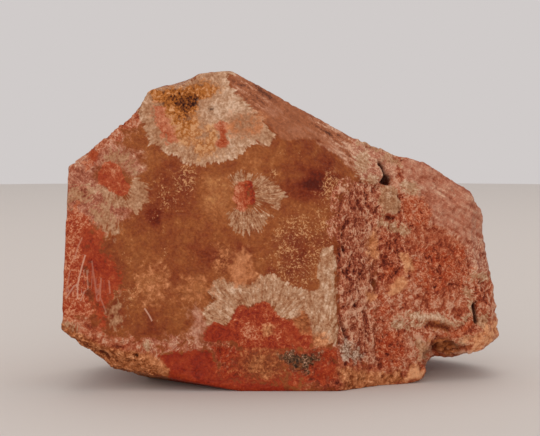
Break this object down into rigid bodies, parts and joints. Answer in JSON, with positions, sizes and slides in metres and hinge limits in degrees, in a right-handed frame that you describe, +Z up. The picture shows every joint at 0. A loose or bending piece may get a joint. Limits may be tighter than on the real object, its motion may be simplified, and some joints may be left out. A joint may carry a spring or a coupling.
{
  "type": "rough opal",
  "caption": "Lump of rough brown and red opal with chalky rosettes, sawn flat on the front and broken elsewhere, standing on a flat base.",
  "frame": {"origin": "on the base plane, under the middle of the bounding box", "axes": "+X along the sawn front towards the broken end, +Y from the sawn front to the back, +Z up"},
  "size_m": [0.0634, 0.037, 0.0452],
  "materials": {
    "rough_opal": "sawn face with a fine-sanded waxy sheen, other sides broken and matte"
  },
  "bodies": {
    "root": {"opal_stone": "rough_opal"}
  },
  "joints": []
}
